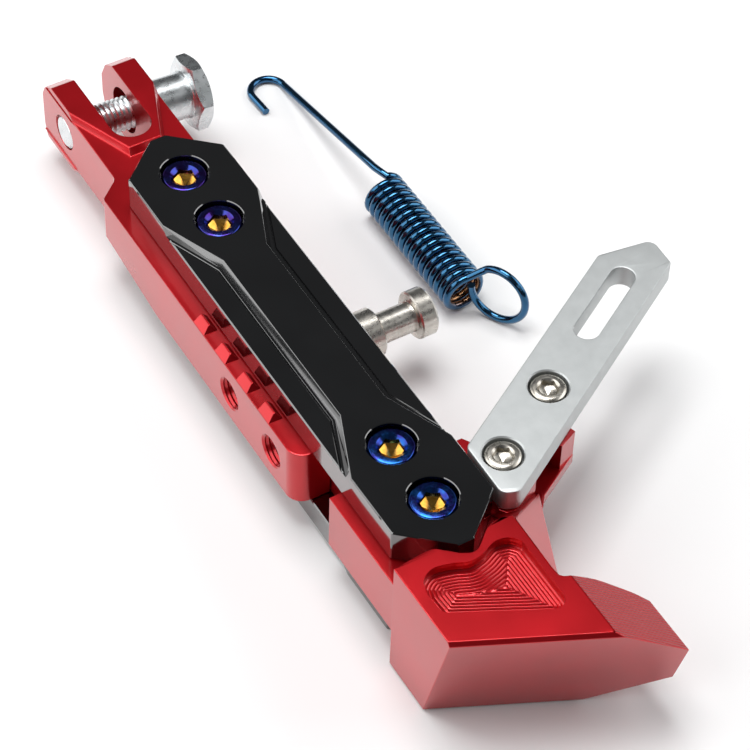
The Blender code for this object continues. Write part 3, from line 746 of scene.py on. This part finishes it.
def gild_socket(obj, y, top):
    """Gives the six-sided point of the screw's socket the gold finish."""
    obj.data.materials.append(gold)
    to_leg = LEG.inverted()
    high = top - 2.3
    low = high - 3.0
    radius = 3.45
    for face in obj.data.polygons:
        centre = to_leg @ face.center
        if hypot(centre.x, centre.y - y) < radius and low < centre.z < high:
            face.material_index = 1


def build_plate_fasteners():
    """The four heat-coloured M8 screws, each with a washer and a nut behind."""
    for index, offset in enumerate(BOLT_OFFSETS):
        build_plate_screw(index + 1, PLATE_MIDDLE + offset, violet if index < 2 else blue)
        build_washer_and_nut(index + 1, PLATE_MIDDLE + offset)


def build_plate_screw(number, y, tint):
    top = PLATE_OUTER - 1.0
    tip = NUT_HIGH - 5.5
    place = upright(0, y)
    profile = [(0, tip), (3.4, tip), (4.0, tip + 0.6), (4.0, 13.2), (6.3, 13.2), (6.5, 13.5)]
    profile += [(6.5, top - 1.0), (6.36, top - 0.6), (6.0, top - 0.2), (5.6, top), (0, top)]
    mesh = boolean(turned(profile, place), "DIFFERENCE", socket_cutter(6.0, top, 2.4, 1.9, 0.75, place))
    name = f"plate_screw_{number}"
    screw = piece(name, mesh, tint, "leg", f"plate_bolt_{number}", sharp=28)
    gild_socket(screw, y, top)


def build_washer_and_nut(number, y):
    washer = extruded([circle(0, y, 7.8), circle(0, y, 4.3)], NUT_SEAT - WASHER, NUT_SEAT, 0.2)
    piece(f"washer_{number}", washer, screw_steel, "leg", f"plate_washer_{number}")
    flats = 13.0
    low = NUT_HIGH - NUT
    rim = flats / sqrt(3) + 0.2
    above = NUT_HIGH + 1
    cone = [(0, low - 0.01), (6.3, low - 0.01), (rim, low + 0.9), (rim, above), (0, above)]
    mouth = [(0, low - 1), (5.3, low - 1), (4.25, low + 0.6), (4.25, above), (0, above)]
    nut = extruded([hexagon(0, y, flats)], low, NUT_HIGH)
    nut = boolean(nut, "INTERSECT", turned(cone, upright(0, y)))
    nut = boolean(nut, "DIFFERENCE", turned(mouth, upright(0, y)))
    piece(f"nut_{number}", nut, zinc, "leg", f"plate_nut_{number}", sharp=28)


def build_stud():
    """The turned stud that the spring hooks over."""
    profile = [(0, 8.5), (3.5, 8.5), (4.0, 9.0), (4.0, 18.8), (6.6, 18.8), (7.0, 19.2), (7.0, 25.2)]
    profile += [(6.5, 25.7), (5.0, 25.7), (4.5, 26.0), (4.4, 26.4), (4.4, 36.4), (4.6, 36.8)]
    profile += [(5.0, 37.0), (6.55, 37.0), (6.95, 37.4), (6.95, 41.6), (6.3, 42.3), (0, 42.3)]
    mesh = turned(profile, across(0, STUD_Y))
    piece("stud_fine", mesh, stud_steel, "leg", "spring_stud", sharp=30)


def inward(outline):
    """Each point of the closed outline with the direction into it."""
    area = sum(a[0] * b[1] - b[0] * a[1] for a, b in zip(outline, outline[1:] + outline[:1]))
    side = 1 if area > 0 else -1
    normals = []
    for index, point in enumerate(outline):
        along = Vector(outline[(index + 1) % len(outline)]) - Vector(outline[index - 1])
        normals.append((Vector(point), side * Vector((-along.y, along.x)).normalized()))
    return normals


def spaced(outline, step):
    """The closed outline with a point about every step."""
    points = []
    for start, end in zip(outline, outline[1:] + outline[:1]):
        start, end = Vector(start), Vector(end)
        count = max(1, round((end - start).length / step))
        points += [tuple(start.lerp(end, i / count)) for i in range(count)]
    return points


def reach(point, normal, outline, step=0.1, limit=12):
    """How far one can go from the outline's point along normal before another part of it is nearer."""
    edges = [(Vector(a), Vector(b)) for a, b in zip(outline, outline[1:] + outline[:1])]
    distance = step
    while distance < limit:
        place = point + normal * distance
        for start, end in edges:
            share = (place - start).dot(end - start) / (end - start).length_squared
            if (place - start.lerp(end, max(0, min(1, share)))).length < distance - 0.06:
                return distance - step
        distance += step
    return distance


def pocket_cutter(outline, floor, pitch=0.95):
    """A cutter with ridges on its floor that follow the outline, one inside the other.

    Rows of points run inward from the outline, and triangles join them.
    """
    outline = spaced(outline, 0.5)
    count = len(outline)
    spots = [(x, y, floor + 0.35) for x, y in outline]
    for point, normal in inward(outline):
        rows = int((reach(point, normal, outline) - 0.05) / (pitch / RIDGE_ROWS))
        for row in range(2, rows + 1):
            ridge = 0.22 * (0.5 + 0.5 * cos(2 * pi * row / RIDGE_ROWS)) ** 2
            spots.append((*(point + normal * (row * pitch / RIDGE_ROWS)), floor + ridge))
    flat, _, faces, sources, _, _ = delaunay_2d_cdt(
        [Vector(spot[:2]) for spot in spots], [], [list(range(count))], 1, 0.01
    )
    points = [(*place, spots[source[0]][2]) for place, source in zip(flat, sources)]
    rim = {source: index for index, found in enumerate(sources) for source in found if source < count}
    top = len(points)
    points += [(x, y, FOOT_HALF_HEIGHT + 4) for x, y in outline]
    faces = [list(face) for face in faces] + [list(range(top, top + count))]
    for i in range(count):
        after = (i + 1) % count
        faces.append([rim[i], rim[after], top + after, top + i])
    mesh = bpy.data.meshes.new("pocket")
    mesh.from_pydata(points, [], faces)
    return weld(mesh, FINE_WELD)


def build_foot():
    """The sliding foot, with its milled pocket, slanted sole, chamfered toe and the kick tab's lug."""
    scallop = [(-20, -196.8), (-9.4, -195.9), (-5.9, -197.9), (-2.5, -200.7), (1.3, -201.5), (7, -197)]
    scallop = smooth([*scallop, (11.4, -195.9), (14.7, -196.9)])
    toe_back = smooth([(18.3, -219.9), (23.6, -221.2), (29.2, -224.4), (32.5, -226.6), (35.3, -229.3)], 3)
    corner = smooth([(14.2, -215.5), (14.7, -218.2), (16.2, -219.4), (18.3, -219.9)], 2)[:-1]
    block = [*scallop, *corner, *toe_back, (35.3, -260), (-20, -260)]
    solid = extruded([block[::-1]], -FOOT_HALF_HEIGHT, FOOT_HALF_HEIGHT)
    section = [(-25, -20.5), (15.38, -20.5), (36.3, -7.6)]
    section += [(x, -z) for x, z in reversed(section)]
    solid = boolean(solid, "INTERSECT", extruded([section], 190, 270, 0, ALONG_Y))
    neck = [(13.0, -198, 19.4), (14.6, -198, 19.4), (14.2, -218.5, 19.4), (10.0, -218.5, 19.4)]
    neck += [(15.6, -184, 6), (31, -185, 6), (23.3, -204, 4), (16, -220.4, 4), (12, -220.4, 4)]
    neck = hull(neck + [(x, y, -z) for x, y, z in neck])
    tang = box((-18.4, -205, -ARM_HALF_HEIGHT), (18.4, -162.5, ARM_HALF_HEIGHT))
    tongue = box((-9, -167.5, 0.1 - ARM_HALF_HEIGHT), (9, -141.5, ARM_HALF_HEIGHT - 0.1))
    solid = boolean(solid, "UNION", neck, tang)
    heel = Matrix.Translation((-20.4, -223.3, FOOT_HALF_HEIGHT)) @ Matrix.Rotation(-SOLE_TURN, 4, "Z")
    sole = box((-150, -100, -100), (150, 0, 100))
    sole.transform(heel @ Matrix.Rotation(SOLE_LEAN, 4, "X"))
    edge = box((-150, -100, -100), (150, 0.9, 100))
    edge.transform(heel @ Matrix.Rotation(-radians(38.5), 4, "X"))
    solid = boolean(solid, "DIFFERENCE", sole, edge)
    solid = boolean(bevelled(solid, 0.25), "UNION", bevelled(tongue, 0.25), *lug_meshes())
    slot = extruded([stadium(PLATE_MIDDLE + BOLT_OFFSETS[-1], PLATE_MIDDLE - 34.12, 4.4)], -15, 15)
    outline = [(-16.7, -207), (-15.3, -203.3), (-11.4, -201.3), (-6.3, -202.3), (-2.3, -203.9)]
    outline = smooth([*outline, (1.6, -203.4), (6.3, -201.6), (10.2, -202.4), (12.3, -205)])
    outline += rounded([(12.3, -215, 0), (12.3, -228.6, 3), (-16.4, -214, 2), (-16.7, -208, 0)])
    pocket = pocket_cutter(outline[::-1], FOOT_HALF_HEIGHT - 3.3)
    cutters = [slot, pocket]
    for a in TAB_SCREWS:
        cutters.append(turned([(0, 1.5), (3.3, 1.5), (3.3, 16), (0, 16)], upright(*on_tab(a, 0))))
    solid = boolean(solid, "DIFFERENCE", *cutters)
    line_toe(piece("foot_fine", solid, red, "foot", "foot"))


def line_toe(obj):
    """Gives the toe's two chamfers the lined finish."""
    obj.data.materials.append(lined_red)
    lean = Vector((11.9, 0, 19.3)).normalized()
    smallest = 5 * MM**2
    for face in obj.data.polygons:
        tilt = Vector((face.normal.x, face.normal.y, abs(face.normal.z)))
        if tilt.dot(lean) > 0.995 and face.area > smallest:
            face.material_index = 1


def lug_meshes():
    """The web beside the arm that carries the kick tab, and the raised posts that the tab lies between."""
    under_tab = [(-8, 8.6), (16, 8.6), (19, 5), (19, -2), (16.5, -4.3), (10.4, -4.3), (8.7, -10.6)]
    web = [(12, -164.2), (20, -164.2), *[on_tab(a, b) for a, b in under_tab]]
    web += [(33.2, -184.9), (24, -196), (12, -196)]
    beside_tab = [(-8, 8.5), (15.9, 8.5), (18.9, 4.9), (18.9, -1.9), (16.4, -4.2), (10.3, -4.2)]
    beside_tab += [(8.6, -10.5), (2.2, -9.8), (2.2, -1), (-8, -1), (-10.8, -3.5), (-10.8, -8.8)]
    beside_tab += [(-21.7, -8.8), (-24.4, -7.4), (-24.6, -5.2)]
    posts = [(16.1, -164.3), (20, -164.3), *[on_tab(a, b) for a, b in beside_tab], (16.1, -186)]
    web = extruded([web[::-1]], 0, 3.5, 0.2)
    return web, extruded([posts[::-1]], 0.2, TAB_LOW - 0.3, 0.2)


def build_kick_tab():
    """The slotted tab and its two M6 screws."""
    outline = rounded(
        [
            (-15.7, TAB_HALF_WIDTH, 2.5),
            (-25.0, -5.6, 3.0),
            (-22.0, -TAB_HALF_WIDTH, 2.5),
            (69.7, -TAB_HALF_WIDTH, 1.0),
            (75.0, -1.2, 3.0),
            (62.3, TAB_HALF_WIDTH, 2.0),
        ]
    )
    slot = [(y, x) for x, y in stadium(36.3, 58.2, 3.5)]
    loops = [[on_tab(a, b) for a, b in outline], [on_tab(a, b) for a, b in slot]]
    solid = extruded(loops, TAB_LOW, TAB_TOP, 0.45)
    cutters = []
    floor = TAB_TOP - 4.8
    for a in TAB_SCREWS:
        profile = [(0, 10), (3.3, 10), (3.3, floor), (5.5, floor), (5.5, TAB_TOP - 0.35), (7.8, TAB_TOP + 2)]
        cutters.append(turned([*profile, (0, TAB_TOP + 2)], upright(*on_tab(a, 0))))
    solid = boolean(solid, "DIFFERENCE", *cutters)
    piece("tab_fine", solid, satin, "foot", "kick_tab")
    for index, a in enumerate(TAB_SCREWS):
        build_tab_screw(index + 1, upright(*on_tab(a, 0)))


def build_tab_screw(number, place):
    top = TAB_TOP - 0.3
    profile = [(0, 2), (2.5, 2), (3, 2.6), (3, 15.5), (4.8, 15.5), (4.95, 15.8), (4.95, top - 0.9)]
    profile += [(4.75, top - 0.45), (4.3, top - 0.12), (3.8, top), (0, top)]
    mesh = boolean(turned(profile, place), "DIFFERENCE", socket_cutter(5.0, top, 2.2, 1.0, 0.3, place))
    name = f"tab_bolt_{number}"
    piece(name, mesh, screw_steel, "foot", f"tab_screw_{number}", sharp=28)


def build_spring():
    """The blued extension spring, loose beside the leg."""
    centre = Vector((*HOOK_CENTRE, HOOK_Z))
    route = [Vector((*HOOK_TIP, HOOK_Z))]
    for step in range(25):
        angle = pi - pi * step / 24
        route.append(centre + HOOK_RADIUS * Vector((cos(angle), sin(angle), 0)))
    shank_top = Vector((COIL_X, COIL_START + 4.5, COIL_Z + COIL_RADIUS))
    foot = route[-1]
    route += [foot.lerp(shank_top, step / 8) for step in range(1, 9)]
    count = round(COIL_TURNS * POINTS_PER_TURN)
    for step in range(1, count + 1):
        share = step / count
        angle = pi / 2 - 2 * pi * COIL_TURNS * share
        y = COIL_START + (COIL_END - COIL_START) * share
        route.append(Vector((COIL_X + COIL_RADIUS * cos(angle), y, COIL_Z + COIL_RADIUS * sin(angle))))
    ring = []
    for step in range(49):
        angle = radians(128 - 312 * step / 48)
        place = RING_RADIUS * (cos(angle) * RING_RUN + Vector((0, 0, sin(angle))))
        ring.append(RING_CENTRE + place + RING_SHIFT * (step / 24 - 1) * RING_SIDE)
    neck = smooth([route[-2], route[-1], ring[0], ring[2]], 8)
    route += [Vector(point) for point in neck[9:16]] + ring
    curve = bpy.data.curves.new("wire", "CURVE")
    curve.dimensions = "3D"
    curve.bevel_depth = WIRE_RADIUS
    curve.bevel_resolution = 4
    curve.use_fill_caps = True
    spline = curve.splines.new("POLY")
    spline.points.add(len(route) - 1)
    for point, place in zip(spline.points, route):
        point.co = (*place, 1)
    mesh = settle(shape(curve))
    piece("spring_fine", weld(mesh, 0.002), wire, "spring", "return_spring", sharp=50)


build_pivot_bolt()
build_arm()
build_plate("plate_front_fine", 1, "front_plate")
build_plate("plate_rear_fine", -1, "rear_plate")
build_plate_fasteners()
build_stud()
build_foot()
build_kick_tab()
build_spring()
bpy.data.collections.remove(workshop)


# Floor, light and camera


def build_floor():
    mesh = bpy.data.meshes.new("floor")
    half = 4.0
    corners = [(x, y, FLOOR_Z) for x, y in ((-half, -half), (half, -half), (half, half), (-half, half))]
    mesh.from_pydata(corners, [], [[0, 1, 2, 3]])
    finish = Nodes("pale floor", Roughness=0.9)
    colour = finish.ramp(finish.noise(8, 2), (0.3, (0.88, 0.88, 0.88)), (0.7, (0.90, 0.90, 0.90)))
    finish.link(colour, finish.shader.inputs["Base Color"])
    mesh.materials.append(finish.material)
    floor = bpy.data.objects.new("floor", mesh)
    bpy.context.scene.collection.objects.link(floor)


def area_light(name, place, target, size, power):
    lamp = bpy.data.lights.new(name, "AREA")
    lamp.shape = "RECTANGLE"
    lamp.size, lamp.size_y = size
    lamp.energy = power
    obj = bpy.data.objects.new(name, lamp)
    obj.location = place
    obj.rotation_euler = (Vector(target) - Vector(place)).to_track_quat("-Z", "Y").to_euler()
    bpy.context.scene.collection.objects.link(obj)


def build_light():
    """A tall soft panel on each side, a soft ceiling panel towards the back, and a dim room."""
    world = bpy.data.worlds.new("studio")
    world.use_nodes = True
    world.node_tree.nodes["Background"].inputs["Color"].default_value = (0.93, 0.96, 1.0, 1)
    world.node_tree.nodes["Background"].inputs["Strength"].default_value = 0.08
    bpy.context.scene.world = world
    area_light("left", (-1.0, 0.4, 0.74), (0.0, 0.15, 0.3), (2.0, 1.4), 19)
    area_light("ceiling", (0.0, 0.2, 1.5), (0.05, 0.1, 0), (0.95, 0.75), 18)
    area_light("right", (0.95, -0.4, 0.58), (0.0, -0.12, 0), (0.9, 0.9), 6)
    bpy.context.scene.view_settings.view_transform = "Standard"


def build_camera():
    """The view of a reader who stands over the foot, a little to the left."""
    azimuth = radians(-32.08)
    elevation = radians(48.44)
    roll = radians(2.137)
    distance = 0.7381
    target = Vector((leg_x + 0.00807, -0.14009, 0.02))
    flat = cos(elevation)
    back = Vector((sin(azimuth) * flat, -cos(azimuth) * flat, sin(elevation)))
    right = Vector((0, 0, 1)).cross(back).normalized()
    up = back.cross(right)
    right, up = right * cos(roll) + up * sin(roll), up * cos(roll) - right * sin(roll)
    camera = bpy.data.cameras.new("camera")
    camera.sensor_width = 36
    camera.lens = 136.3
    camera.clip_start = 0.02
    obj = bpy.data.objects.new("camera", camera)
    facing = Matrix((right, up, back)).transposed().to_4x4()
    obj.matrix_world = Matrix.Translation(target + back * distance) @ facing
    bpy.context.scene.collection.objects.link(obj)
    bpy.context.scene.camera = obj


build_floor()
build_light()
build_camera()
